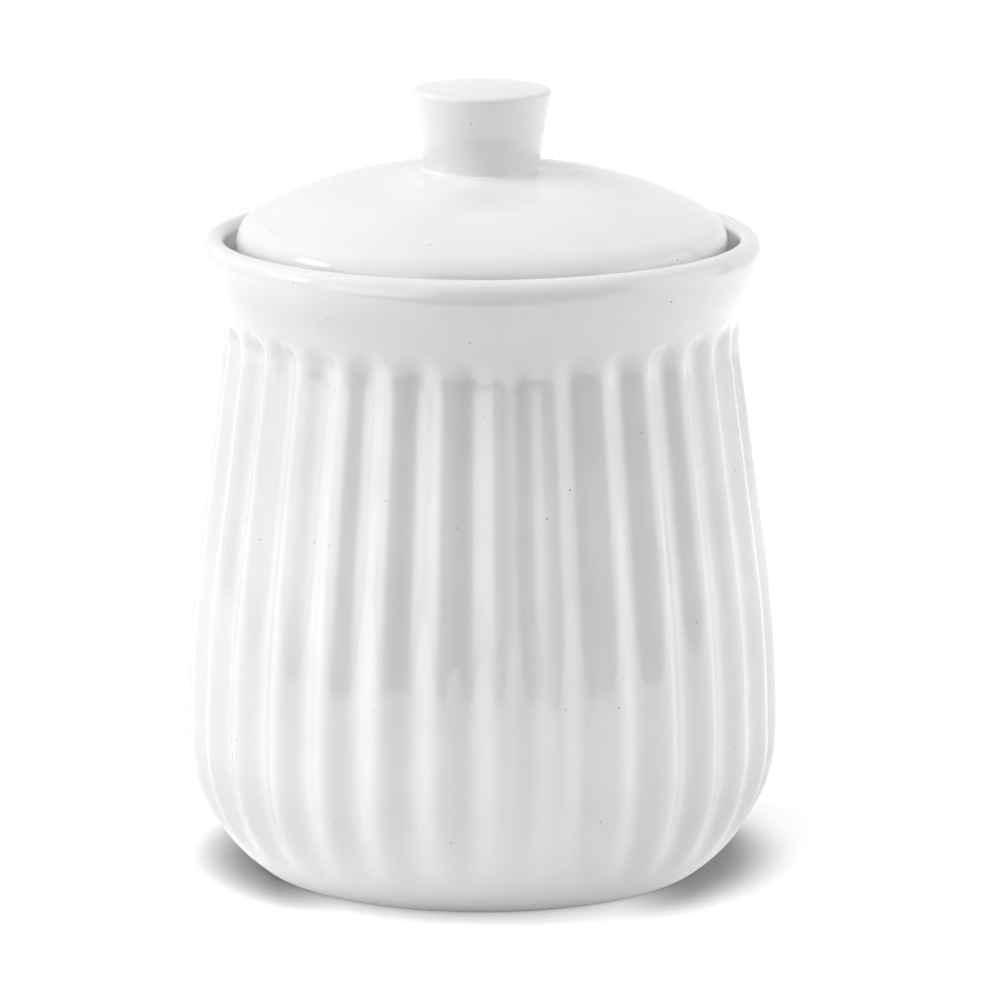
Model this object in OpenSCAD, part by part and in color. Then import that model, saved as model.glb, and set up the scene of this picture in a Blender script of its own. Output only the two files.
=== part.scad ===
// Fluted stoneware canister: a glazed pot with a recessed domed lid, a luted knob and a silicone seal.
// Millimetres, +Z up, origin at the middle of the foot ring.

/* [Pot] */
// Widest diameter of the belly
belly_d = 132; // [128:1:138]
// Height of the widest point above the table
belly_z = 31.5; // [28:0.5:36]
// Diameter at which the lower curve would meet the table
foot_d = 99; // [92:1:106]
// Radius of the rolled edge at the foot
foot_edge_r = 3; // [2:0.25:4]
// Height at which the belly curve runs out into the straight taper
shoulder_z = 72; // [64:1:80]
// Narrowest diameter of the neck
neck_d = 114; // [110:1:118]
// Height of the narrowest point of the neck
neck_z = 118.5; // [114:0.5:124]
// Radius of the hollow curve at the neck
neck_curve_r = 24; // [20:1:30]
// Wall between the tops of the ribs and the inside
wall = 6; // [5:0.25:7.5]
// Height of the inside floor above the table
floor_z = 7.5; // [6:0.25:9]
// Radius between the inside floor and the wall
floor_round_r = 9; // [7:0.5:11]

/* [Foot ring] */
// Width of the unglazed ring that stands on the table
foot_ring_w = 5; // [4:0.25:7]
// Depth of the recess inside the foot ring
foot_recess = 2; // [1:0.25:3]

/* [Rim] */
// How far the rim stands out past the neck, on the radius
rim_flare = 4.6; // [4:0.1:5.4]
// Radius of the bulging curve of the rim band
band_curve_r = 17.5; // [14:0.5:21]
// Radius with which the band rolls over above its widest line
roll_r = 6; // [5:0.5:7.5]
// Angle through which the band rolls over before the lip starts
roll_turn = 25; // [20:1:30]
// Radius of the round lip
lip_r = 2.4; // [2.1:0.1:2.6]
// Depth of the lid's ledge below the widest line of the rim
ledge_depth = 3; // [2:0.25:4]
// Width of the ledge on which the lid lies
ledge_w = 5.2; // [4.8:0.1:5.6]

/* [Flutes] */
// Number of flutes
flute_count = 32; // [28:1:36]
// Depth of a flute at the belly
flute_depth = 1.8; // [1.3:0.1:2]
// Width of the rib left between two flutes
rib_w = 1.6; // [1.2:0.1:2.6]
// Height at which the flutes run out above the table
flute_foot_z = 6; // [5:0.5:9]
// Turn of the flutes about the axis
flute_turn = -2.5; // [-5.5:0.5:5.5]

/* [Lid] */
// Gap between the lid's edge and the wall of the recess, at the ledge
lid_gap = 2; // [1.5:0.1:2.4]
// Height of the lid's widest line above the ledge
lid_edge_h = 4.9; // [4.5:0.1:5.5]
// Height of the flat seat of the knob above the ledge
lid_crown_h = 21.2; // [19.5:0.2:24]
// Radius with which the dome turns over into the edge
lid_shoulder_r = 7; // [6:0.25:8]
// Radius under the lid's edge
lid_under_r = 2.4; // [1.5:0.1:3]
// Thickness of the dome
lid_wall = 5.5; // [4.5:0.25:6.5]
// Length of the skirt that hangs into the throat
skirt_h = 12; // [10:0.5:14]
// Gap between the skirt and the throat
skirt_gap = 1.6; // [1.3:0.1:2]
// Thickness of the skirt
skirt_w = 5.2; // [4.5:0.1:6]

/* [Knob] */
// Diameter of the knob where it meets the lid
knob_base_d = 25.2; // [23:0.2:27]
// Widest diameter of the knob
knob_top_d = 30.6; // [28.5:0.2:33]
// Height of the widest line of the knob above its seat
knob_edge_h = 16.2; // [14:0.2:19]
// Radius of the knob's upper edge
knob_edge_r = 1.8; // [1.4:0.1:2.2]
// Rise of the knob's crowned top above its upper edge
knob_crown = 1.4; // [0.8:0.1:2]
// Margin of the flat seat around the knob
knob_seat_margin = 0.5; // [0.3:0.1:1]

/* [Seal] */
// Height of the silicone ring
seal_h = 6; // [5:0.25:7]
// Depth of the ring's groove in the skirt
seal_groove = 1.8; // [1.4:0.1:2.2]
// Thickness of the ring's band
seal_band = 1.3; // [1:0.1:1.6]
// Number of sealing fins
seal_fins = 3; // [2:1:4]
// Thickness of a fin
seal_fin_t = 0.9; // [0.7:0.1:1.1]
// Height of the ring above the lower edge of the skirt
seal_lift = 3; // [2:0.25:3.5]
// Clearance between the ring and what it runs against
seal_clear = 0.3; // [0.2:0.05:0.4]

/* [Hidden] */
$fn = 72;
glaze = "whitesmoke";
silicone = "gainsboro";
// Reach of a cutter past the face that it opens
past = 1;
// Overlap by which curves that run into each other cross instead of only touching
lap = 0.02;
// Length by which overlapping outlines run on past the point where they cross
run_on = 6;
// Angle by which a groove's cutter runs on after it has left the wall
flute_run_out = 3;
// Angle kept free on each side of a groove's cutter
flute_side_a = 0.1;
// How much larger the ball at the top of a groove is than the groove itself
flute_ball_grow = 1.02;
// Facets of the large arcs
large_fn = 180;

// Radii of the pot at its belly, foot and neck
belly_r = belly_d / 2;
foot_r = foot_d / 2;
neck_r = neck_d / 2;
// The lower curve is one arc that is upright at the belly and ends at the foot
foot_in = belly_r - foot_r;
foot_curve_r = (foot_in * foot_in + belly_z * belly_z) / (2 * foot_in);
foot_c = [belly_r - foot_curve_r, belly_z];
// Half-angle tangent of the taper, so that belly arc, straight wall and neck arc meet smoothly
taper_w = belly_r - neck_r;
taper_g = shoulder_z - belly_z;
taper_h = neck_z - shoulder_z;
function taper_f(t) = taper_g * t ^ 3 + (2 * neck_curve_r - taper_w) * t ^ 2 - (taper_g + 2 * taper_h) * t + taper_w;
function taper_slope(t) = 3 * taper_g * t ^ 2 + 2 * (2 * neck_curve_r - taper_w) * t - (taper_g + 2 * taper_h);
function taper_root(t, steps) = steps == 0 ? t : taper_root(t - taper_f(t) / taper_slope(t), steps - 1);
taper = 2 * atan(taper_root(taper_w / (taper_g + 2 * taper_h), 6));
belly_curve_r = taper_g / sin(taper);
belly_c = [belly_r - belly_curve_r, belly_z];
neck_c = [neck_r + neck_curve_r, neck_z];
// Unit vectors square to the taper and along it
taper_out = [cos(taper), sin(taper)];
taper_up = [-sin(taper), cos(taper)];
shoulder_p = belly_c + belly_curve_r * taper_out;
neck_p = neck_c - neck_curve_r * taper_out;

// Rim: a bulging band that leaves the neck curve smoothly, rolls over and ends in a full-round lip
rim_r = neck_r + rim_flare;
rim_z = neck_z + sqrt(2 * (neck_curve_r + band_curve_r) * rim_flare - rim_flare ^ 2);
band_c = [rim_r - band_curve_r, rim_z];
band_p = band_c + band_curve_r * (neck_c - band_c) / norm(neck_c - band_c);
roll_c = [rim_r - roll_r, rim_z];
roll_out = [cos(roll_turn), sin(roll_turn)];
lip_c = roll_c + (roll_r - lip_r) * roll_out;
lip_in_r = lip_c[0] - lip_r;
throat_r = neck_r - wall;
ledge_z = rim_z - ledge_depth;
recess_r = throat_r + ledge_w;
// The inside taper ends where it reaches the throat
taper_in_p = shoulder_p - wall * taper_out;
throat_z = taper_in_p[1] + (taper_in_p[0] - throat_r) / tan(taper);

// Flutes: round-bottomed grooves whose depth leaves the same rib between neighbours all the way up
flute_pitch = 360 / flute_count;
function flute_half(r) = PI * r / flute_count - rib_w / 2;
flute_r = (flute_half(belly_r) ^ 2 + flute_depth ^ 2) / (2 * flute_depth);
function flute_depth_at(r) = flute_r - sqrt(flute_r ^ 2 - flute_half(r) ^ 2);
function flute_centre(p, out) = p + (flute_r - flute_depth_at(p[0])) * out;
// The groove's centre runs on one arc over belly, shoulder and neck
flute_belly_p = flute_centre([belly_r, belly_z], [1, 0]);
flute_shoulder_p = flute_centre(shoulder_p, taper_out);
flute_neck_p = flute_centre([neck_r, neck_z], [1, 0]);
flute_up_c = arc_centre(flute_belly_p, flute_shoulder_p, flute_neck_p);
flute_up_r = norm(flute_belly_p - flute_up_c);
flute_lean = direction(flute_belly_p - flute_up_c);
flute_up_a = direction(flute_neck_p - flute_up_c) - flute_lean;
// Below the belly a second arc carries it out of the wall at the height where the flutes run out
flute_foot_a = asin((belly_z - flute_foot_z) / foot_curve_r);
flute_foot_out = [cos(flute_foot_a), -sin(flute_foot_a)];
flute_foot_p = foot_c + (foot_curve_r + flute_r) * flute_foot_out;
flute_drop = flute_belly_p - flute_foot_p;
flute_low_r = flute_drop * flute_drop / (2 * flute_drop * [cos(flute_lean), sin(flute_lean)]);
flute_low_c = flute_belly_p - flute_low_r * [cos(flute_lean), sin(flute_lean)];
flute_low_a = flute_lean - direction(flute_foot_p - flute_low_c) + flute_run_out;
// Radius of the ball that rounds off the top of a groove
flute_ball_r = flute_r * flute_ball_grow;

// Lid: a flat seat, a crowned dome, a rounded edge and a skirt, with heights from the ledge
lid_r = recess_r - lid_gap;
lid_edge_c = [lid_r - lid_shoulder_r, lid_edge_h];
seat_r = knob_base_d / 2 + knob_seat_margin;
lid_curve_r = crown_radius(lid_r - lid_shoulder_r - seat_r, lid_edge_h - lid_crown_h, lid_shoulder_r);
skirt_r = throat_r - skirt_gap;
skirt_in_r = skirt_r - skirt_w;

// Knob: a cone that opens upwards into a rounded edge
knob_r = knob_top_d / 2;
knob_c = [knob_r - knob_edge_r, knob_edge_h];
knob_h = knob_edge_h + knob_edge_r + knob_crown;
knob_foot = [knob_base_d / 2, 0];
knob_side = knob_c - knob_foot;
knob_lean = acos(-knob_edge_r / norm(knob_side)) - atan2(knob_side[1], knob_side[0]);
knob_p = knob_c + knob_edge_r * [cos(knob_lean), -sin(knob_lean)];

// Seal ring in the groove of the skirt, with heights from the ledge
seal_z = seal_lift - skirt_h;
seal_in_r = skirt_r - seal_groove + seal_clear;
seal_out_r = throat_r - seal_clear;

// Angle of a vector in the outline's plane
function direction(v) = atan2(v[1], v[0]);
// Centre of the circle through three points
function arc_centre(a, b, c) =
    let (u = b - a, v = c - a, turn = 2 * cross(u, v))
    a + [v[1] * (u * u) - u[1] * (v * v), u[0] * (v * v) - v[0] * (u * u)] / turn;
// Radius of a crown arc that runs smoothly into an edge of radius edge, reach out and drop below its top
function crown_radius(reach, drop, edge) = (reach ^ 2 + drop ^ 2 - edge ^ 2) / (-2 * drop - 2 * edge);

// Outline from one corner to the other
module box_between(a, b) {
    translate(a) square(b - a);
}

// Half outline of the pot from its floor to the top of the taper, inset from the tops of the ribs
module pot_outline(inset, bottom, corner_r, top) {
    low_r = foot_curve_r - inset;
    low_c = foot_c + [lap, 0];
    drop = low_c[1] - bottom - corner_r;
    corner = [low_c[0] + sqrt((low_r - corner_r) ^ 2 - drop ^ 2), bottom + corner_r];
    touch = low_c + low_r * (corner - low_c) / (low_r - corner_r);
    start = shoulder_p - (inset + lap) * taper_out;
    finish = start + (top - start[1]) / cos(taper) * taper_up;
    intersection() {
        box_between([0, bottom], [belly_r + past, rim_z + past]);
        union() {
            translate(corner + [lap, -lap]) circle(corner_r);
            box_between([0, bottom - past], [corner[0], bottom + corner_r]);
            box_between([0, bottom - past], [low_c[0], belly_z]);
            intersection() {
                translate(low_c) circle(low_r);
                box_between([0, touch[1]], [belly_r + past, belly_z + run_on]);
            }
            intersection() {
                translate(belly_c) circle(belly_curve_r - inset, $fn = large_fn);
                box_between([0, belly_z], [belly_r + past, shoulder_p[1] + run_on]);
            }
            polygon([[0, start[1]], start, finish, [0, top]]);
        }
    }
}

// Half outline of the rim from the top of the taper to the lip
module rim_outline() {
    difference() {
        box_between([0, neck_p[1]], [neck_c[0], band_p[1]]);
        translate(neck_c - [2 * lap, 0]) circle(neck_curve_r);
    }
    intersection() {
        translate(band_c) circle(band_curve_r);
        box_between([0, band_p[1] - run_on], [rim_r + past, rim_z]);
    }
    intersection() {
        translate(roll_c + [lap, 0]) circle(roll_r);
        union() {
            box_between([0, band_p[1]], [rim_r + past, lip_c[1]]);
            box_between([lip_c[0], rim_z], [rim_r + past, roll_c[1] + roll_r * roll_out[1]]);
        }
    }
}

// Half outline of the inside: pot, throat and the recess that takes the lid
module inside_outline() {
    pot_outline(wall, floor_z, floor_round_r, throat_z + run_on);
    box_between([0, throat_z - run_on], [throat_r, ledge_z + past]);
    polygon([
        [0, ledge_z],
        [recess_r, ledge_z],
        [lip_in_r, lip_c[1]],
        [lip_in_r, lip_c[1] + lip_r],
        [0, lip_c[1] + lip_r]
    ]);
}

// Half section of the plain pot
module pot_section() {
    difference() {
        union() {
            pot_outline(0, 0, foot_edge_r, neck_p[1] + run_on);
            rim_outline();
        }
        inside_outline();
        box_between([0, -past], [foot_r - foot_edge_r - foot_ring_w, foot_recess]);
    }
    translate(lip_c) circle(lip_r + lap);
}

// Groove swept upwards or downwards from the belly, about a centre radius inwards of it
module flute_arc(radius, from, sweep) {
    translate([-radius, 0, 0])
        rotate([90, 0, 0])
            rotate_extrude(angle = sweep, start = from, $fn = large_fn)
                translate([radius, 0])
                    circle(flute_r);
}

// One flute on the +X side, from its fading foot to its arched top, kept clear of its neighbours
module flute() {
    reach = 2 * belly_r;
    half = flute_pitch / 2 - flute_side_a;
    intersection() {
        union() {
            translate([flute_belly_p[0], 0, flute_belly_p[1]])
                rotate([0, -flute_lean, 0]) {
                    flute_arc(flute_low_r, -flute_low_a, flute_low_a);
                    flute_arc(flute_up_r, 0, flute_up_a);
                }
            translate([flute_neck_p[0], 0, flute_neck_p[1]]) sphere(flute_ball_r);
        }
        translate([0, 0, -belly_z])
            linear_extrude(2 * rim_z)
                polygon([[0, 0], reach * [cos(half), -sin(half)], reach * [cos(half), sin(half)]]);
    }
}

module jar_body() {
    color(glaze)
        difference() {
            rotate_extrude() pot_section();
            for (i = [0 : flute_count - 1])
                rotate(i * flute_pitch + flute_turn) flute();
        }
}

// Half outline under a crowned top: flat out to flat_r, then an arc as far as the rounded edge about edge_c
module crown_outline(flat_r, curve_r, top, edge_c) {
    curve_c = [flat_r, top - curve_r];
    touch = curve_c + curve_r * (edge_c - curve_c) / norm(edge_c - curve_c);
    if (flat_r > 0)
        box_between([0, edge_c[1]], [flat_r, top]);
    intersection() {
        translate(curve_c) circle(curve_r, $fn = large_fn);
        box_between([flat_r, edge_c[1]], [touch[0], top]);
    }
}

// Half section of the lid above and below its ledge
module lid_section() {
    difference() {
        union() {
            crown_outline(seat_r, lid_curve_r, lid_crown_h, lid_edge_c);
            intersection() {
                translate(lid_edge_c) circle(lid_shoulder_r + lap);
                box_between([0, lid_edge_h - past], [lid_r + past, lid_crown_h]);
            }
            box_between([0, lid_under_r], [lid_r, lid_edge_h]);
            box_between([0, 0], [lid_r - lid_under_r, lid_under_r]);
            translate([lid_r - lid_under_r, lid_under_r]) circle(lid_under_r);
            box_between([0, -skirt_h], [skirt_r, 0]);
        }
        box_between([0, -skirt_h - past], [seat_r, lid_crown_h - lid_wall]);
        intersection() {
            translate([seat_r, lid_crown_h - lid_curve_r]) circle(lid_curve_r - lid_wall, $fn = large_fn);
            box_between([seat_r, -skirt_h - past], [skirt_in_r, lid_crown_h]);
        }
        box_between([skirt_r - seal_groove, seal_z], [skirt_r + past, seal_z + seal_h]);
    }
}

module lid() {
    color(glaze) translate([0, 0, ledge_z]) rotate_extrude() lid_section();
}

// Half section of the knob above its seat
module knob_section() {
    curve_r = crown_radius(knob_c[0], knob_c[1] - knob_h, knob_edge_r);
    crown_outline(0, curve_r, knob_h, knob_c);
    polygon([[0, 0], knob_foot, knob_p, knob_c, [0, knob_edge_h]]);
    translate(knob_c) circle(knob_edge_r + lap);
}

module lid_knob() {
    color(glaze) translate([0, 0, ledge_z + lid_crown_h]) rotate_extrude() knob_section();
}

// Half section of the seal: a band with thin fins that press against the throat
module seal_section() {
    fin_step = (seal_h - seal_fin_t) / (seal_fins - 1);
    box_between([seal_in_r, seal_z], [seal_in_r + seal_band, seal_z + seal_h]);
    for (i = [0 : seal_fins - 1])
        box_between(
            [seal_in_r + seal_band / 2, seal_z + i * fin_step],
            [seal_out_r, seal_z + i * fin_step + seal_fin_t]
        );
}

module seal_ring() {
    color(silicone) translate([0, 0, ledge_z]) rotate_extrude() seal_section();
}

jar_body();
lid();
lid_knob();
seal_ring();
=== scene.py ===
"""Looks of a fluted stoneware canister: white glaze, domed lid with a luted knob, silicone seal.

Sizes are in metres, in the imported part's own frame: +Z up along the jar's axis, -Y towards the camera.
In names R is a radius and Z a height, and in the outlines c is a centre.
"""
import math

import bpy
import numpy as np
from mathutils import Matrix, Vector


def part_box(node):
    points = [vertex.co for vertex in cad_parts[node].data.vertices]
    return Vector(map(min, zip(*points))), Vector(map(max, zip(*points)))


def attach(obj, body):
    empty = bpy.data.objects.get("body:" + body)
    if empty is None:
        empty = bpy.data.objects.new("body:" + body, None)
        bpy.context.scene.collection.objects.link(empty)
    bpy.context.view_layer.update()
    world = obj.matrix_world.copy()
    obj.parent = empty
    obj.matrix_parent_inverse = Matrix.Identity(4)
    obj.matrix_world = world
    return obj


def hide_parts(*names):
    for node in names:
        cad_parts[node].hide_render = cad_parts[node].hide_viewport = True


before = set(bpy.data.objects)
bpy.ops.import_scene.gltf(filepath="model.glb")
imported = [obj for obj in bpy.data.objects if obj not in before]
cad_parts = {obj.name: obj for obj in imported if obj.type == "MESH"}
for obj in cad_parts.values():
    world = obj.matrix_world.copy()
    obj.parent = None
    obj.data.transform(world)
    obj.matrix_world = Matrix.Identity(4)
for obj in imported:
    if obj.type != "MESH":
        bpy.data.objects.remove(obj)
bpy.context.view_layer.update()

MM = 0.001

# Points closer together than this count as one
SAME_POINT = 0.0001 * MM

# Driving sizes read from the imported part
BELLY_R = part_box("jar_body")[1][0]
LID_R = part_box("lid")[1][0]
SKIRT_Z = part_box("lid")[0][2]
SEAT_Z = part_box("lid")[1][2]
KNOB_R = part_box("lid_knob")[1][0]
KNOB_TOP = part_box("lid_knob")[1][2]
SEAL_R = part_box("seal_ring")[1][0]
SEAL_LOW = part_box("seal_ring")[0][2]
SEAL_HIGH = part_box("seal_ring")[1][2]

# Pot, with angles in degrees
BELLY_Z = 31.5 * MM
FOOT_R = 49.5 * MM
FOOT_EDGE_R = 3 * MM
FOOT_PLAIN_Z = FOOT_EDGE_R / 3
FOOT_RING_R = 41.5 * MM
FOOT_RING_ROUND_R = 0.5 * MM
FOOT_RECESS = 2 * MM
FOOT_RECESS_ROUND_R = 0.8 * MM
SHOULDER_Z = 72 * MM
NECK_R = 57 * MM
NECK_Z = 118.5 * MM
NECK_CURVE_R = 24 * MM
WALL = 6 * MM
FLOOR_Z = 7.5 * MM
FLOOR_ROUND_R = 9 * MM
LIP_R = 2.4 * MM
RIM_FLARE = 4.6 * MM
RIM_R = NECK_R + RIM_FLARE
BAND_CURVE_R = 17.5 * MM
ROLL_R = 6 * MM
ROLL_TURN = 25
RIM_Z = NECK_Z + math.sqrt(2 * (NECK_CURVE_R + BAND_CURVE_R) * RIM_FLARE - RIM_FLARE ** 2)
LEDGE_DROP = 3 * MM
LEDGE_Z = RIM_Z - LEDGE_DROP
LEDGE_WIDTH = 5.2 * MM
LEDGE_CORNER_R = 1.2 * MM
LEDGE_EDGE_R = 1.0 * MM
THROAT_R = NECK_R - WALL
THROAT_LENGTH = 18 * MM
THROAT_ROUND_R = 6 * MM
RECESS_R = THROAT_R + LEDGE_WIDTH
TAPER_TRIES = 6

# Flutes, with the columns of the grid on each, and how far they drift, in radians
FLUTE_COUNT = 32
FLUTE_DEPTH = 2.2 * MM
FLUTE_FOOT_Z = 6 * MM
FLUTE_TOP_Z = 125.4 * MM
FLUTE_TURN = math.radians(-2.25)
FLUTE_COLUMNS = 14
FLUTE_DRIFT = 0.03

# Lid and knob
LID_EDGE_HEIGHT = 4.9 * MM
LID_EDGE_Z = LEDGE_Z + LID_EDGE_HEIGHT
LID_SHOULDER_R = 7 * MM
LID_UNDER_R = 2.4 * MM
LID_CORNER_R = 0.6 * MM
LID_WALL = 5.5 * MM
HOLLOW_ROUND_R = 3 * MM
SKIRT_GAP = 1.6 * MM
SKIRT_WALL = 5.2 * MM
SKIRT_ROUND_R = 1.4 * MM
SKIRT_R = THROAT_R - SKIRT_GAP
SKIRT_IN_R = SKIRT_R - SKIRT_WALL
SEAL_GROOVE = 1.8 * MM
SEAL_GROOVE_EDGE_R = 0.3 * MM
SEAL_GROOVE_R = SKIRT_R - SEAL_GROOVE
SEAT_R = 13.1 * MM
KNOB_BASE_R = 12.6 * MM
KNOB_EDGE_R = 1.2 * MM
KNOB_CROWN = 1.4 * MM
KNOB_FILLET = 0.8 * MM
KNOB_SINK = 0.3 * MM
KNOB_FILLET_SINK = KNOB_SINK / 5
LID_COLUMNS = 256
KNOB_COLUMNS = 128

# Seal
SEAL_BAND = 1.3 * MM
SEAL_FINS = 3
SEAL_FIN_THICKNESS = 0.9 * MM
SEAL_FIN_ROUND_R = 0.4 * MM
SEAL_CORNER_R = 0.2 * MM
SEAL_GAP = 0.3 * MM
SEAL_IN_R = SEAL_GROOVE_R + SEAL_GAP

# Waves left in the glaze, as size, waves about the axis, waves per metre of height and phase
GLAZE_WAVES = (
    (0.030 * MM, 5, 21, 0.4),
    (0.022 * MM, 9, 34, 1.9),
    (0.016 * MM, 14, 58, 3.1),
)


def arc(centre, radius, start, end, count):
    """Circle about centre in the (radius, height) plane, from one angle to the other, in degrees."""
    angle = np.radians(np.linspace(start, end, count))
    return np.column_stack((centre[0] + radius * np.cos(angle), centre[1] + radius * np.sin(angle)))


def straight(start, end, count):
    """Points spaced evenly from start to end."""
    share = np.linspace(0, 1, count)[:, None]
    return (1 - share) * np.array(start) + share * np.array(end)


def angle_of(point, centre):
    """Direction from centre to point, in degrees."""
    return math.degrees(math.atan2(point[1] - centre[1], point[0] - centre[0]))


def joined(*stretches):
    """One outline from several stretches, with points that coincide kept once."""
    path = np.vstack(stretches)
    step = np.linalg.norm(np.diff(path, axis=0), axis=1)
    return path[np.concatenate(([True], step > SAME_POINT))]


def rounded(corners, steps):
    """Outline through (radius, height, rounding) corners.

    The arc of that rounding that touches both sides takes a corner's place, and no rounding keeps it sharp.
    """
    stretches = [np.array([corners[0][:2]])]
    for before, here, after in zip(corners, corners[1:], corners[2:]):
        corner = np.array(here[:2])
        back = np.array(before[:2]) - corner
        ahead = np.array(after[:2]) - corner
        back = back / np.linalg.norm(back)
        ahead = ahead / np.linalg.norm(ahead)
        half = math.acos(np.clip(back @ ahead, -1, 1)) / 2
        if here[2] == 0:
            stretches.append(corner[None, :])
            continue
        middle = corner + (back + ahead) / np.linalg.norm(back + ahead) * here[2] / math.sin(half)
        first = corner + back * here[2] / math.tan(half)
        last = corner + ahead * here[2] / math.tan(half)
        start = angle_of(first, middle)
        turn = (angle_of(last, middle) - start + 180) % 360 - 180
        stretches.append(arc(middle, here[2], start, start + turn, steps))
    stretches.append(np.array([corners[-1][:2]]))
    return joined(*stretches)


def filled(path, longest):
    """The same outline with long straight steps cut into equal ones no longer than longest."""
    stretches = []
    for a, b in zip(path, path[1:]):
        pieces = max(1, math.ceil(np.linalg.norm(b - a) / longest))
        stretches.append(straight(a, b, pieces + 1)[:-1])
    stretches.append(path[-1:])
    return np.vstack(stretches)


def outward(path):
    """Unit vectors square to an outline, on its right-hand side as it is followed."""
    along = np.gradient(path, axis=0)
    along /= np.linalg.norm(along, axis=1)[:, None]
    return np.column_stack((along[:, 1], -along[:, 0]))


def glaze_waves(turn, height):
    """Slow unevenness of a glazed surface: a few waves in turn, each times a wave in height, added up."""
    total = np.zeros(np.broadcast(turn, height).shape)
    for size, turns, rate, phase in GLAZE_WAVES:
        total += size * np.sin(turns * turn + phase) * np.cos(rate * 2 * math.pi * height + 2 * phase)
    return total


def surface(name, rings, closed_loop=False):
    """Smooth mesh over a grid of points, rings by columns, whose last column joins the first.

    A first or last ring of no width becomes a pole. In a closed loop the last ring joins the first.
    """
    if closed_loop:
        low_pole, high_pole = False, False
    else:
        low_pole = np.ptp(rings[0], axis=0).max() < SAME_POINT
        high_pole = np.ptp(rings[-1], axis=0).max() < SAME_POINT
    body = rings[1 if low_pole else 0:-1 if high_pole else len(rings)]
    rows, columns = body.shape[:2]
    number = np.arange(rows * columns).reshape(rows, columns)
    if closed_loop:
        number = np.vstack((number, number[:1]))
    right = np.roll(number, -1, axis=1)
    quads = np.stack((number[:-1], right[:-1], right[1:], number[1:]), axis=-1).reshape(-1, 4)
    points = [body.reshape(-1, 3)]
    triangles = []
    if low_pole:
        pole = np.full(columns, rows * columns)
        triangles.append(np.column_stack((pole, right[0], number[0])))
        points.append(rings[0][:1])
    if high_pole:
        pole = np.full(columns, rows * columns + low_pole)
        triangles.append(np.column_stack((pole, number[-1], right[-1])))
        points.append(rings[-1][:1])
    faces = quads.tolist() + [corner for fan in triangles for corner in fan.tolist()]
    mesh = bpy.data.meshes.new(name)
    mesh.from_pydata(np.vstack(points), [], faces)
    mesh.polygons.foreach_set("use_smooth", np.ones(len(faces), dtype=bool))
    mesh.update()
    piece = bpy.data.objects.new(name, mesh)
    bpy.context.collection.objects.link(piece)
    return piece


def turned(path, columns, waves=0):
    """Rings of an outline turned about the axis: radius times cosine, radius times sine, height.

    Each point is moved along its normal by a share of the glaze's waves, which end at the axis.
    """
    turn = np.linspace(0, 2 * math.pi, columns, endpoint=False)[None, :]
    radius, height = path[:, :1], path[:, 1:]
    lift = waves * glaze_waves(turn, height) * np.minimum(1, radius / SEAT_R)
    normal = outward(path)
    radius = radius + lift * normal[:, :1]
    height = height + lift * normal[:, 1:]
    return np.stack((radius * np.cos(turn), radius * np.sin(turn), height + 0 * turn), axis=-1)


def taper_angle():
    """Lean of the straight wall, in degrees, at which belly arc, wall and neck arc run on smoothly.

    The tangent of half the lean is a root of a cubic in the widths and heights of the three stretches,
    found in a few steps, each of value over slope.
    """
    width = BELLY_R - NECK_R
    low, high = SHOULDER_Z - BELLY_Z, NECK_Z - SHOULDER_Z
    bend = 2 * NECK_CURVE_R - width
    half = width / (low + 2 * high)
    for _ in range(TAPER_TRIES):
        value = low * half ** 3 + bend * half ** 2 - (low + 2 * high) * half + width
        slope = 3 * low * half ** 2 + 2 * bend * half - (low + 2 * high)
        half -= value / slope
    return 2 * math.degrees(math.atan(half))


def wall_stretches(inset, bottom, corner_r, taper):
    """Foot corner, lower arc and belly arc of the pot's wall, set in from the ribs.

    The lower arc ends upright at the belly, where the belly arc takes over and leans in by the taper.
    """
    foot_in = BELLY_R - FOOT_R
    low_r = (foot_in ** 2 + BELLY_Z ** 2) / (2 * foot_in)
    low_c = (BELLY_R - low_r, BELLY_Z)
    low_r -= inset
    drop = BELLY_Z - bottom - corner_r
    corner_c = (low_c[0] + math.sqrt((low_r - corner_r) ** 2 - drop ** 2), bottom + corner_r)
    touch = angle_of(corner_c, low_c)
    belly_r = (SHOULDER_Z - BELLY_Z) / math.sin(math.radians(taper))
    belly_c = (BELLY_R - belly_r, BELLY_Z)
    corner = arc(corner_c, corner_r, -90, touch, count=9)
    lower = arc(low_c, low_r, touch, 0, count=26)
    belly = arc(belly_c, belly_r - inset, 0, taper, count=20)
    return corner, lower, belly


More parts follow.
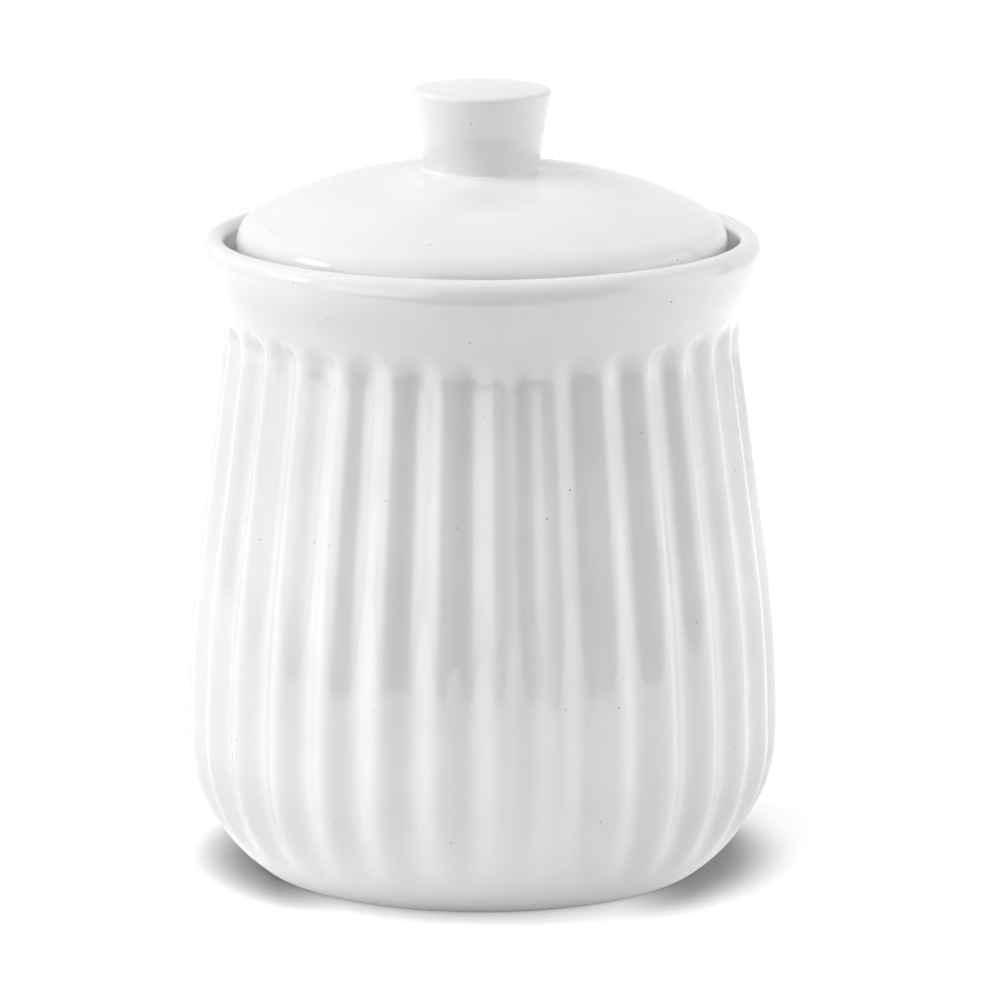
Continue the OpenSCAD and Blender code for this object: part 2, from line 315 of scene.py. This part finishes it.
def jar_outline():
    """Outline of the pot: from the middle of its underside up the outside, over the lip and down inside.

    Arcs and straight stretches that touch each other, with the inner wall set in by the wall's thickness.
    """
    taper = taper_angle()
    corner, lower, belly = wall_stretches(0, 0, FOOT_EDGE_R, taper)
    underside = rounded(
        [
            (0, FOOT_RECESS, 0),
            (FOOT_RING_R, FOOT_RECESS, FOOT_RECESS_ROUND_R),
            (FOOT_RING_R, 0, FOOT_RING_ROUND_R),
            (corner[0][0], 0, 0),
        ],
        steps=4,
    )
    neck_c = (NECK_R + NECK_CURVE_R, NECK_Z)
    band_c = (RIM_R - BAND_CURVE_R, RIM_Z)
    neck_turn = angle_of(band_c, neck_c) % 360
    neck = arc(neck_c, NECK_CURVE_R, 180 + taper, neck_turn, count=34)
    band = arc(band_c, BAND_CURVE_R, neck_turn - 180, 0, count=14)
    taper_wall = straight(belly[-1], neck[0], count=20)
    roll_c = (RIM_R - ROLL_R, RIM_Z)
    roll = arc(roll_c, ROLL_R, 0, ROLL_TURN, count=8)
    lip_c = arc(roll_c, ROLL_R - LIP_R, ROLL_TURN, ROLL_TURN, count=1)[0]
    lip = arc(lip_c, LIP_R, ROLL_TURN, 180, count=15)
    in_corner, in_lower, in_belly = wall_stretches(WALL, FLOOR_Z, FLOOR_ROUND_R, taper)
    inside = rounded(
        [
            (lip[-1][0], lip[-1][1], 0),
            (RECESS_R, LEDGE_Z, LEDGE_CORNER_R),
            (THROAT_R, LEDGE_Z, LEDGE_EDGE_R),
            (THROAT_R, LEDGE_Z - THROAT_LENGTH, THROAT_ROUND_R),
            tuple(in_belly[-1]) + (0,),
        ],
        steps=6,
    )
    inner_floor = straight(in_corner[0], (0, FLOOR_Z), count=8)
    return joined(
        filled(underside, longest=8 * MM), corner, lower, belly, taper_wall,
        neck, band, roll, lip, filled(inside, longest=6 * MM),
        in_belly[::-2], in_lower[::-2], in_corner[::-1], inner_floor,
    )


def flute_columns():
    """Angles of the grid's columns, before the flutes drift: the same number on every flute."""
    share = np.arange(FLUTE_COLUMNS) / FLUTE_COLUMNS
    pitch = 2 * math.pi / FLUTE_COUNT
    rib = (np.arange(FLUTE_COUNT) - 0.5) * pitch + FLUTE_TURN
    return (rib[:, None] + share[None, :] * pitch).ravel()


def flute_depth(path, turn):
    """How far the flutes go below the plain wall, for each point of the outline and each angle.

    Across a flute the depth is a cosine wave: full in the middle and nothing on the rounded rib between
    two flutes. Above the centre of the arched top, the height counts as distance from the middle too,
    which gives the round arch. Below the belly the depth falls off with the third power, and it grows
    with the pot's radius.
    """
    pitch = 2 * math.pi / FLUTE_COUNT
    outside = np.arange(len(path)) <= np.argmax(path[:, 1])
    radius, height = path[:, 0], path[:, 1]
    below = np.clip((BELLY_Z - height) / (BELLY_Z - FLUTE_FOOT_Z), 0, 1)
    middle = FLUTE_DEPTH * (radius / BELLY_R) * (1 - below ** 3) * outside
    half = pitch / 2 * np.maximum(radius, MM)[:, None]
    rise = np.clip(height - (FLUTE_TOP_Z - pitch / 2 * NECK_R), 0, None)[:, None]
    offset = (turn - FLUTE_TURN + pitch / 2) % pitch - pitch / 2
    distance = np.hypot(radius[:, None] * offset[None, :], rise)
    wave = (1 + np.cos(math.pi * np.minimum(1, distance / half))) / 2
    return middle[:, None] * wave


def make_jar():
    """The pot: its outline turned about the axis, with flutes and glaze waves along the normals.

    The flutes drift sideways with the cosine of the angle, as hand spacing leaves them: they stand a little
    wider apart at the front and closer at the back. The foot ring keeps its plain shape.
    """
    path = jar_outline()
    turn = flute_columns()
    sink = flute_depth(path, turn)
    normal = outward(path)
    lift = glaze_waves(turn[None, :], path[:, 1:]) * np.minimum(1, path[:, :1] / SEAT_R) - sink
    lift[path[:, 1] < FOOT_PLAIN_Z] = 0
    radius = path[:, :1] + lift * normal[:, :1]
    height = path[:, 1:] + lift * normal[:, 1:]
    around = turn + FLUTE_DRIFT * np.cos(turn)
    rings = np.stack((radius * np.cos(around), radius * np.sin(around), height), axis=-1)
    return surface("glazed_jar", rings)


def lid_outline():
    """Outline of the lid: from the middle of its hollow round the skirt and the edge to its top's middle.

    The dome is an arc that touches the flat seat of the knob and the shoulder's arc, and the hollow is
    the same arc set in by the lid's wall.
    """
    crown_drop = SEAT_Z - LID_EDGE_Z
    reach = LID_R - LID_SHOULDER_R - SEAT_R
    crown_r = (reach ** 2 + crown_drop ** 2 - LID_SHOULDER_R ** 2) / (2 * (crown_drop - LID_SHOULDER_R))
    crown_c = (SEAT_R, SEAT_Z - crown_r)
    edge_c = (LID_R - LID_SHOULDER_R, LID_EDGE_Z)
    touch = angle_of(edge_c, crown_c)
    hollow_r = crown_r - LID_WALL
    hollow_end = math.degrees(math.acos((SKIRT_IN_R - HOLLOW_ROUND_R - SEAT_R) / hollow_r))
    hollow = arc(crown_c, hollow_r, 90, hollow_end, count=14)
    skirt = rounded(
        [
            tuple(hollow[-1]) + (0,),
            (SKIRT_IN_R, hollow[-1][1] - HOLLOW_ROUND_R, HOLLOW_ROUND_R),
            (SKIRT_IN_R, SKIRT_Z, SKIRT_ROUND_R),
            (SKIRT_R, SKIRT_Z, SKIRT_ROUND_R),
            (SKIRT_R, SEAL_LOW, SEAL_GROOVE_EDGE_R),
            (SEAL_GROOVE_R, SEAL_LOW, 0),
            (SEAL_GROOVE_R, SEAL_HIGH, 0),
            (SKIRT_R, SEAL_HIGH, SEAL_GROOVE_EDGE_R),
            (SKIRT_R, LEDGE_Z, LID_CORNER_R),
            (LID_R, LEDGE_Z, LID_UNDER_R),
            (LID_R, LID_EDGE_Z, 0),
        ],
        steps=6,
    )
    shoulder = arc(edge_c, LID_SHOULDER_R, 0, touch, count=16)
    crown = arc(crown_c, crown_r, touch, 90, count=22)
    middle = straight((0, hollow[0][1]), hollow[0], count=4)
    seat = straight(crown[-1], (0, SEAT_Z), count=4)
    return joined(middle, hollow, filled(skirt, longest=4 * MM), shoulder, crown, seat)


def knob_outline():
    """Outline of the knob: a foot sunk into the lid, a glaze fillet, a cone that opens upwards, a crown.

    The edge's arc touches both the cone's side and the crown's arc.
    """
    edge_c = (KNOB_R - KNOB_EDGE_R, KNOB_TOP - KNOB_CROWN - KNOB_EDGE_R)
    rise = KNOB_TOP - edge_c[1]
    crown_r = (edge_c[0] ** 2 + rise ** 2 - KNOB_EDGE_R ** 2) / (2 * (rise - KNOB_EDGE_R))
    crown_c = (0, KNOB_TOP - crown_r)
    touch = angle_of(edge_c, crown_c)
    across = math.hypot(edge_c[0] - KNOB_BASE_R, edge_c[1] - SEAT_Z)
    side = math.degrees(math.acos(-KNOB_EDGE_R / across)) - angle_of(edge_c, (KNOB_BASE_R, SEAT_Z))
    edge = arc(edge_c, KNOB_EDGE_R, -side, touch, count=12)
    flange_r = KNOB_BASE_R + KNOB_FILLET
    foot = rounded(
        [
            (0, SEAT_Z - KNOB_SINK, 0),
            (flange_r, SEAT_Z - KNOB_SINK, 0),
            (flange_r, SEAT_Z - KNOB_FILLET_SINK, 0),
            (KNOB_BASE_R, SEAT_Z, KNOB_FILLET),
            tuple(edge[0]) + (0,),
        ],
        steps=8,
    )
    crown = arc(crown_c, crown_r, touch, 90, count=12)
    return joined(filled(foot, longest=3 * MM), edge, crown)


def seal_outline():
    """Closed outline of the silicone ring: a band with round-tipped fins, upwards and back inside."""
    band_r = SEAL_IN_R + SEAL_BAND
    step = (SEAL_HIGH - SEAL_LOW - SEAL_FIN_THICKNESS) / (SEAL_FINS - 1)
    corners = [(SEAL_IN_R, (SEAL_LOW + SEAL_HIGH) / 2, 0), (SEAL_IN_R, SEAL_LOW, SEAL_CORNER_R)]
    for fin in range(SEAL_FINS):
        low = SEAL_LOW + fin * step
        if fin > 0:
            corners.append((band_r, low, SEAL_CORNER_R))
        corners.append((SEAL_R, low, SEAL_FIN_ROUND_R))
        corners.append((SEAL_R, low + SEAL_FIN_THICKNESS, SEAL_FIN_ROUND_R))
        if fin < SEAL_FINS - 1:
            corners.append((band_r, low + SEAL_FIN_THICKNESS, SEAL_CORNER_R))
    corners += [(SEAL_IN_R, SEAL_HIGH, SEAL_CORNER_R), corners[0]]
    return rounded(corners, steps=5)[:-1]


def new_material(name):
    """A material with its Principled shader, and its node tree."""
    material = bpy.data.materials.new(name)
    material.use_nodes = True
    tree = material.node_tree
    return material, tree, tree.nodes["Principled BSDF"]


def bare_material(name):
    """A material with an empty node tree, and the tree."""
    material = bpy.data.materials.new(name)
    material.use_nodes = True
    material.node_tree.nodes.clear()
    return material, material.node_tree


def node(tree, kind, **settings):
    """A new node with its settings."""
    made = tree.nodes.new(kind)
    for key, value in settings.items():
        setattr(made, key, value)
    return made


def ramp(tree, value, low, high, first=0, last=1):
    """A value led smoothly from first, at low, to last, at high, and held beyond."""
    mapped = node(tree, "ShaderNodeMapRange", interpolation_type="SMOOTHSTEP")
    tree.links.new(value, mapped.inputs["Value"])
    mapped.inputs["From Min"].default_value = low
    mapped.inputs["From Max"].default_value = high
    mapped.inputs["To Min"].default_value = first
    mapped.inputs["To Max"].default_value = last
    return mapped.outputs["Result"]


def reckon(tree, operation, *values):
    """Sum, product or other outcome of values, each a socket or a number."""
    made = node(tree, "ShaderNodeMath", operation=operation)
    for socket, value in zip(made.inputs, values):
        if isinstance(value, (int, float)):
            socket.default_value = value
        else:
            tree.links.new(value, socket)
    return made.outputs["Value"]


def raise_skin(tree, shader, height, distance):
    """Bumps a shader's normal by a height that is worth a distance."""
    bump = node(tree, "ShaderNodeBump")
    bump.inputs["Distance"].default_value = distance
    tree.links.new(height, bump.inputs["Height"])
    tree.links.new(bump.outputs["Normal"], shader.inputs["Normal"])


def blend_colour(tree, share, first, second):
    """Colour between two colours or sockets by share."""
    made = node(tree, "ShaderNodeMix", data_type="RGBA")
    tree.links.new(share, made.inputs["Factor"])
    named = [socket for socket in made.inputs if socket.type == "RGBA"]
    for socket, value in zip(named, (first, second)):
        if isinstance(value, tuple):
            socket.default_value = value
        else:
            tree.links.new(value, socket)
    return [socket for socket in made.outputs if socket.type == "RGBA"][0]


def noise(tree, where, scale, detail, roughness=0.5):
    """Fractal noise on a place."""
    made = node(tree, "ShaderNodeTexNoise")
    tree.links.new(where, made.inputs["Vector"])
    made.inputs["Scale"].default_value = scale
    made.inputs["Detail"].default_value = detail
    made.inputs["Roughness"].default_value = roughness
    return made.outputs["Fac"]


# Specks: the share of a speck's radius that is full, and the strength of the faintest
SPECK_CORE = 0.35
SPECK_FAINTEST = 0.35


def specks(tree, where, per_metre, size, share):
    """Round specks about scattered points, in a share of the cells.

    The value is 1 in the middle of a strong speck, less in that of a faint one, and 0 elsewhere.
    """
    cells = node(tree, "ShaderNodeTexVoronoi", feature="F1")
    tree.links.new(where, cells.inputs["Vector"])
    cells.inputs["Scale"].default_value = per_metre
    edge = size * per_metre
    dot = ramp(tree, cells.outputs["Distance"], SPECK_CORE * edge, edge, 1, 0)
    pick = node(tree, "ShaderNodeSeparateColor")
    tree.links.new(cells.outputs["Color"], pick.inputs["Color"])
    chosen = reckon(tree, "LESS_THAN", pick.outputs["Red"], share)
    strength = ramp(tree, pick.outputs["Green"], 0, 1, SPECK_FAINTEST, 1)
    return reckon(tree, "MULTIPLY", reckon(tree, "MULTIPLY", dot, chosen), strength)


# White glaze: tones, roughness, bump, patches per metre of its patterns, the stretch of the mottling over
# which tone and roughness change, and what grain, peel and specks add to the bump
GLAZE_BRIGHT = (0.84, 0.84, 0.84, 1)
GLAZE_DULL = (0.80, 0.80, 0.80, 1)
GLAZE_SMOOTH = 0.04
GLAZE_ROUGH = 0.07
GLAZE_IOR = 1.52
GLAZE_BUMP = 0.06 * MM
MOTTLE_RATE = 45
TONE_SPREAD = (0.3, 0.7)
ROUGH_SPREAD = (0.25, 0.75)
PEEL_RATE = 160
PEEL_HEIGHT = 0.5
GRAIN_RATE = 900
GRAIN_HEIGHT = 0.04
SPECK_COLOUR = (0.13, 0.125, 0.12, 1)
SPECK_ROUGH = 0.3
SPECK_DEPTH = 0.8


def glaze_group():
    """Node group of the white glaze: colour, roughness and height, with mottling and sunk dark specks."""
    group = bpy.data.node_groups.new("white_glaze", "ShaderNodeTree")
    for name in ("Bright", "Dull"):
        group.interface.new_socket(name, in_out="INPUT", socket_type="NodeSocketColor")
    group.interface.new_socket("Specks", in_out="INPUT", socket_type="NodeSocketFloat")
    group.interface.new_socket("Color", in_out="OUTPUT", socket_type="NodeSocketColor")
    group.interface.new_socket("Roughness", in_out="OUTPUT", socket_type="NodeSocketFloat")
    group.interface.new_socket("Height", in_out="OUTPUT", socket_type="NodeSocketFloat")
    given = node(group, "NodeGroupInput")
    result = node(group, "NodeGroupOutput")
    where = node(group, "ShaderNodeTexCoord").outputs["Object"]
    cloud = noise(group, where, MOTTLE_RATE, detail=3)
    grain = noise(group, where, GRAIN_RATE, detail=2)
    peel = noise(group, where, PEEL_RATE, detail=2)
    tone = ramp(group, cloud, *TONE_SPREAD)
    white = blend_colour(group, tone, given.outputs["Dull"], given.outputs["Bright"])
    fine = specks(group, where, per_metre=240, size=0.22 * MM, share=0.5)
    coarse = specks(group, where, per_metre=110, size=0.34 * MM, share=0.55)
    either = reckon(group, "MAXIMUM", fine, coarse)
    spots = reckon(group, "MULTIPLY", either, given.outputs["Specks"])
    colour = blend_colour(group, spots, white, SPECK_COLOUR)
    group.links.new(colour, result.inputs["Color"])
    plain = ramp(group, cloud, *ROUGH_SPREAD, GLAZE_SMOOTH, GLAZE_ROUGH)
    rough = reckon(group, "ADD", plain, reckon(group, "MULTIPLY", spots, SPECK_ROUGH))
    group.links.new(rough, result.inputs["Roughness"])
    swell = reckon(group, "MULTIPLY", peel, PEEL_HEIGHT)
    skin = reckon(group, "ADD", swell, reckon(group, "MULTIPLY", grain, GRAIN_HEIGHT))
    height = reckon(group, "SUBTRACT", skin, reckon(group, "MULTIPLY", spots, SPECK_DEPTH))
    group.links.new(height, result.inputs["Height"])
    return group


GLAZE = glaze_group()


def glaze_material(name, speck_strength):
    """Glossy white glaze: the glaze group's colour, roughness and height on a Principled shader."""
    material, tree, shader = new_material(name)
    glaze = node(tree, "ShaderNodeGroup", node_tree=GLAZE)
    glaze.inputs["Bright"].default_value = GLAZE_BRIGHT
    glaze.inputs["Dull"].default_value = GLAZE_DULL
    glaze.inputs["Specks"].default_value = speck_strength
    raise_skin(tree, shader, glaze.outputs["Height"], GLAZE_BUMP)
    tree.links.new(glaze.outputs["Color"], shader.inputs["Base Color"])
    tree.links.new(glaze.outputs["Roughness"], shader.inputs["Roughness"])
    shader.inputs["IOR"].default_value = GLAZE_IOR
    return material, tree, shader, glaze


# Bare clay of the foot ring: tones, roughness, grit per metre, and the uneven line where the glaze begins
CLAY_DARK = (0.60, 0.55, 0.47, 1)
CLAY_LIGHT = (0.72, 0.68, 0.60, 1)
CLAY_ROUGH = 0.85
GRIT_RATE = 700
GLAZE_LINE_LOW = 0.5 * MM
GLAZE_LINE_HIGH = 0.8 * MM
GLAZE_LINE_WANDER = 0.5 * MM
GLAZE_LINE_RATE = 130


def jar_material():
    """Glaze that stops at the foot: the ring that stood in the kiln is bare buff clay."""
    material, tree, shader, glaze = glaze_material("jar_glaze", speck_strength=1)
    where = node(tree, "ShaderNodeTexCoord").outputs["Object"]
    place = node(tree, "ShaderNodeSeparateXYZ")
    tree.links.new(where, place.inputs["Vector"])
    wander = reckon(tree, "MULTIPLY", noise(tree, where, GLAZE_LINE_RATE, detail=3), GLAZE_LINE_WANDER)
    edge = reckon(tree, "ADD", place.outputs["Z"], wander)
    bare = ramp(tree, edge, GLAZE_LINE_LOW, GLAZE_LINE_HIGH, 1, 0)
    grit = noise(tree, where, GRIT_RATE, detail=4, roughness=0.7)
    clay = blend_colour(tree, grit, CLAY_DARK, CLAY_LIGHT)
    colour = blend_colour(tree, bare, glaze.outputs["Color"], clay)
    tree.links.new(colour, shader.inputs["Base Color"])
    bare_rough = reckon(tree, "MULTIPLY", bare, CLAY_ROUGH)
    rough = reckon(tree, "MAXIMUM", glaze.outputs["Roughness"], bare_rough)
    tree.links.new(rough, shader.inputs["Roughness"])
    return material


# Silicone: tones and roughness where it is clean and dusty, bump, and patches per metre of dust and texture
SILICONE_CLEAN = (0.74, 0.745, 0.74, 1)
SILICONE_DUSTY = (0.80, 0.80, 0.79, 1)
SILICONE_CLEAN_ROUGH = 0.45
SILICONE_DUSTY_ROUGH = 0.62
SILICONE_BUMP = 0.03 * MM
DUST_RATE = 300
DUST_SPREAD = (0.45, 0.7)
TEXTURE_RATE = 2500


def silicone_material():
    """Milky silicone: soft sheen, a faint moulding texture and a little dust."""
    material, tree, shader = new_material("seal_silicone")
    where = node(tree, "ShaderNodeTexCoord").outputs["Object"]
    dust = ramp(tree, noise(tree, where, DUST_RATE, detail=4, roughness=0.6), *DUST_SPREAD)
    colour = blend_colour(tree, dust, SILICONE_CLEAN, SILICONE_DUSTY)
    tree.links.new(colour, shader.inputs["Base Color"])
    rough = ramp(tree, dust, 0, 1, SILICONE_CLEAN_ROUGH, SILICONE_DUSTY_ROUGH)
    tree.links.new(rough, shader.inputs["Roughness"])
    raise_skin(tree, shader, noise(tree, where, TEXTURE_RATE, detail=2), SILICONE_BUMP)
    return material


def place_piece(piece, body, replaced, material):
    """Puts a finished piece on its body, in the place of its CAD node, with its material."""
    piece.data.materials.append(material)
    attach(piece, body)
    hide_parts(replaced)


lid_glaze = glaze_material("lid_glaze", speck_strength=1)[0]
place_piece(make_jar(), "jar", "jar_body", jar_material())
lid_piece = surface("glazed_lid", turned(lid_outline(), LID_COLUMNS, waves=1))
place_piece(lid_piece, "lid", "lid", lid_glaze)
knob_piece = surface("glazed_knob", turned(knob_outline(), KNOB_COLUMNS, waves=1))
place_piece(knob_piece, "lid", "lid_knob", lid_glaze)
seal_piece = surface("silicone_seal", turned(seal_outline(), LID_COLUMNS), closed_loop=True)
place_piece(seal_piece, "seal", "seal_ring", silicone_material())


# Camera: distance from the point it aims at, elevation in degrees, lens and sensor in millimetres
CAMERA_DISTANCE = 1.5
CAMERA_ELEVATION = 12.06
CAMERA_AIM = Vector((4.0 * MM, 0, 81.2 * MM))
CAMERA_LENS = 243.1
CAMERA_SENSOR = 36


def towards(azimuth, elevation):
    """Unit vector from the jar by azimuth, to the right of the camera, and elevation, in degrees."""
    a, e = math.radians(azimuth), math.radians(elevation)
    return Vector((math.sin(a) * math.cos(e), -math.cos(a) * math.cos(e), math.sin(e)))


def look_at(thing, target):
    """Turns a camera or a lamp so that it faces a point."""
    thing.rotation_euler = (target - thing.location).to_track_quat("-Z", "Y").to_euler()


def make_camera():
    """Camera on the photograph's line of sight."""
    data = bpy.data.cameras.new("camera")
    data.lens = CAMERA_LENS
    data.sensor_width = CAMERA_SENSOR
    camera = bpy.data.objects.new("camera", data)
    camera.location = CAMERA_AIM + CAMERA_DISTANCE * towards(0, CAMERA_ELEVATION)
    look_at(camera, CAMERA_AIM)
    bpy.context.collection.objects.link(camera)
    bpy.context.scene.camera = camera


def hidden_lamp(name, azimuth, elevation, distance, size, power):
    """Square soft lamp that faces the jar's middle and doesn't show in the glaze."""
    data = bpy.data.lights.new(name, "AREA")
    data.shape = "SQUARE"
    data.size = size
    data.energy = power
    lamp = bpy.data.objects.new(name, data)
    lamp.location = CAMERA_AIM + distance * towards(azimuth, elevation)
    look_at(lamp, CAMERA_AIM)
    lamp.visible_camera = False
    lamp.visible_glossy = False
    bpy.context.collection.objects.link(lamp)


def seen_directly(tree):
    """1 for rays from the camera and for those that a glossy or clear surface sends on, else 0."""
    path = node(tree, "ShaderNodeLightPath")
    seen = reckon(tree, "MAXIMUM", path.outputs["Is Camera Ray"], path.outputs["Is Glossy Ray"])
    return reckon(tree, "MAXIMUM", seen, path.outputs["Is Transmission Ray"])


# Strength of the surroundings where they aren't seen but light the jar
WORLD_DIM = 0.02


def make_world():
    """White surroundings where they are seen, and dim ones where they light the jar."""
    world = bpy.data.worlds.new("studio")
    world.use_nodes = True
    tree = world.node_tree
    background = tree.nodes["Background"]
    background.inputs["Color"].default_value = (1, 1, 1, 1)
    tree.links.new(ramp(tree, seen_directly(tree), 0, 1, WORLD_DIM, 1), background.inputs["Strength"])
    bpy.context.scene.world = world


def panel(name, corners, material):
    """Flat four-cornered stage piece."""
    mesh = bpy.data.meshes.new(name)
    mesh.from_pydata(corners, [], [(0, 1, 2, 3)])
    mesh.materials.append(material)
    piece = bpy.data.objects.new(name, mesh)
    bpy.context.collection.objects.link(piece)
    return piece


# Table: place, paint, and its own glow where it is seen, near the jar and further off
TABLE_X = 1.6
TABLE_FRONT_Y = -0.47
TABLE_BACK_Y = 2.4
TABLE_PAINT = (0.86, 0.86, 0.86, 1)
GLOW_NEAR_R = 60 * MM
GLOW_FAR_R = 160 * MM
GLOW_NEAR = 0.46
GLOW_FAR = 0.9

# Contact shadow on the table: paint, reach, samples, the openness at which it is darkest and gone, how it
# falls off, and how much light it leaves at its darkest, out to the front's x and from the side's x
NOOK_PAINT = (0.34, 0.34, 0.34, 1)
NOOK_REACH = 20 * MM
NOOK_SAMPLES = 16
NOOK_DEEP = 0.3
NOOK_FREE = 1.0
NOOK_POWER = 1.6
NOOK_FRONT_X = 28 * MM
NOOK_FRONT_LIGHT = 0.72
NOOK_SIDE_X = 47 * MM
NOOK_SIDE_LIGHT = 0.08


def floor_material():
    """White table: a matt surface that takes the jar's shadow.

    Where the camera sees it, the nook under the belly is painted darker as contact shadow, at the jar's
    sides more than in front. It also glows up to white where it is seen, a painted light that is little
    beside the jar and more further off.
    """
    material, tree = bare_material("white_table")
    place = node(tree, "ShaderNodeTexCoord").outputs["Object"]
    across = node(tree, "ShaderNodeSeparateXYZ")
    tree.links.new(place, across.inputs["Vector"])
    sideways = reckon(tree, "ABSOLUTE", across.outputs["X"])
    deepest = ramp(tree, sideways, NOOK_FRONT_X, NOOK_SIDE_X, NOOK_FRONT_LIGHT, NOOK_SIDE_LIGHT)
    nook = node(tree, "ShaderNodeAmbientOcclusion", samples=NOOK_SAMPLES)
    nook.inputs["Distance"].default_value = NOOK_REACH
    path = node(tree, "ShaderNodeLightPath")
    unseen = reckon(tree, "SUBTRACT", 1, path.outputs["Is Camera Ray"])
    free = reckon(tree, "MAXIMUM", ramp(tree, nook.outputs["AO"], NOOK_DEEP, NOOK_FREE), unseen)
    covered = reckon(tree, "POWER", reckon(tree, "SUBTRACT", 1, free), NOOK_POWER)
    uncovered = reckon(tree, "SUBTRACT", 1, covered)
    shade = reckon(tree, "ADD", uncovered, reckon(tree, "MULTIPLY", deepest, covered))
    matt = node(tree, "ShaderNodeBsdfDiffuse")
    paint = blend_colour(tree, shade, NOOK_PAINT, TABLE_PAINT)
    tree.links.new(paint, matt.inputs["Color"])
    distance = node(tree, "ShaderNodeVectorMath", operation="LENGTH")
    tree.links.new(place, distance.inputs[0])
    glow = ramp(tree, distance.outputs["Value"], GLOW_NEAR_R, GLOW_FAR_R, GLOW_NEAR, GLOW_FAR)
    light = node(tree, "ShaderNodeEmission")
    seen = reckon(tree, "MULTIPLY", seen_directly(tree), shade)
    tree.links.new(reckon(tree, "MULTIPLY", seen, glow), light.inputs["Strength"])
    both = node(tree, "ShaderNodeAddShader")
    tree.links.new(matt.outputs["BSDF"], both.inputs[0])
    tree.links.new(light.outputs["Emission"], both.inputs[1])
    end = node(tree, "ShaderNodeOutputMaterial")
    tree.links.new(both.outputs["Shader"], end.inputs["Surface"])
    return material


# Dark sheet behind the camera, painted shade of the studio's unlit side, which the glaze mirrors
UNLIT_SHADE_TONE = (0.03, 0.03, 0.03, 1)
SHADE_SHEET_Y = -2.2
SHADE_SHEET_LEFT_X = -1.6
SHADE_SHEET_RIGHT_X = 2.8
SHADE_SHEET_LOW_Z = -0.6
SHADE_SHEET_HIGH_Z = 1.2


def dark_material():
    """Matt dark sheet: painted shade that stands in for the unlit side of the studio."""
    material, _, shader = new_material("unlit_side_shade")
    shader.inputs["Base Color"].default_value = UNLIT_SHADE_TONE
    shader.inputs["Roughness"].default_value = 1
    return material


# Square of the share of a soft box's half width, or half height, at which its light begins to fade
SOFT_START = 0.1


def soft_box_material(name, strength):
    """Light of a soft box, on the panel's own UV: full in the middle and fading to nothing at its edges."""
    material, tree = bare_material(name)
    place = node(tree, "ShaderNodeSeparateXYZ")
    tree.links.new(node(tree, "ShaderNodeTexCoord").outputs["UV"], place.inputs["Vector"])
    across = reckon(tree, "MULTIPLY", place.outputs["X"], place.outputs["X"])
    upwards = reckon(tree, "MULTIPLY", place.outputs["Y"], place.outputs["Y"])
    beside = ramp(tree, across, SOFT_START, 1, 1, 0)
    soft = reckon(tree, "MULTIPLY", beside, ramp(tree, upwards, SOFT_START, 1, 1, 0))
    light = node(tree, "ShaderNodeEmission")
    tree.links.new(reckon(tree, "MULTIPLY", soft, strength), light.inputs["Strength"])
    end = node(tree, "ShaderNodeOutputMaterial")
    tree.links.new(light.outputs["Emission"], end.inputs["Surface"])
    return material


def soft_box(name, azimuth, elevation, distance, width, height, strength):
    """Soft box that faces the jar's middle and shows in the glaze, with UV from -1 to 1 across it."""
    facing = towards(azimuth, elevation)
    middle = CAMERA_AIM + distance * facing
    side = facing.cross(Vector((0, 0, 1))).normalized() * width / 2
    rise = side.cross(facing).normalized() * height / 2
    corners = [middle - side - rise, middle + side - rise, middle + side + rise, middle - side + rise]
    box = panel(name, corners, soft_box_material(name, strength))
    spread = box.data.uv_layers.new(name="across")
    spread.data.foreach_set("uv", [-1, -1, 1, -1, 1, 1, -1, 1])
    box.visible_camera = False


make_camera()
make_world()
panel(
    "table",
    [
        (-TABLE_X, TABLE_FRONT_Y, 0),
        (TABLE_X, TABLE_FRONT_Y, 0),
        (TABLE_X, TABLE_BACK_Y, 0),
        (-TABLE_X, TABLE_BACK_Y, 0),
    ],
    floor_material(),
)
# Painted shade: a dark sheet in front, seen only as the dark reflection in the glaze
shade_sheet = panel(
    "dark_front",
    [
        (SHADE_SHEET_LEFT_X, SHADE_SHEET_Y, SHADE_SHEET_LOW_Z),
        (SHADE_SHEET_RIGHT_X, SHADE_SHEET_Y, SHADE_SHEET_LOW_Z),
        (SHADE_SHEET_RIGHT_X, SHADE_SHEET_Y, SHADE_SHEET_HIGH_Z),
        (SHADE_SHEET_LEFT_X, SHADE_SHEET_Y, SHADE_SHEET_HIGH_Z),
    ],
    dark_material(),
)
shade_sheet.visible_camera = False
soft_box("left_softbox", azimuth=-46, elevation=10, distance=1.2, width=1.5, height=0.8, strength=2.15)
soft_box("right_softbox", azimuth=86, elevation=10, distance=1.2, width=1.6, height=1.0, strength=1.8)
soft_box("left_strip", azimuth=-86, elevation=21, distance=1.2, width=0.6, height=0.35, strength=5)
hidden_lamp("window_lamp", azimuth=-89, elevation=55, distance=1.4, size=0.8, power=9.8)
hidden_lamp("right_lamp", azimuth=96, elevation=18, distance=1.0, size=0.85, power=3.6)
hidden_lamp("fill_lamp", azimuth=-8, elevation=68, distance=1.4, size=1.6, power=10)

bpy.context.scene.view_settings.view_transform = "Standard"
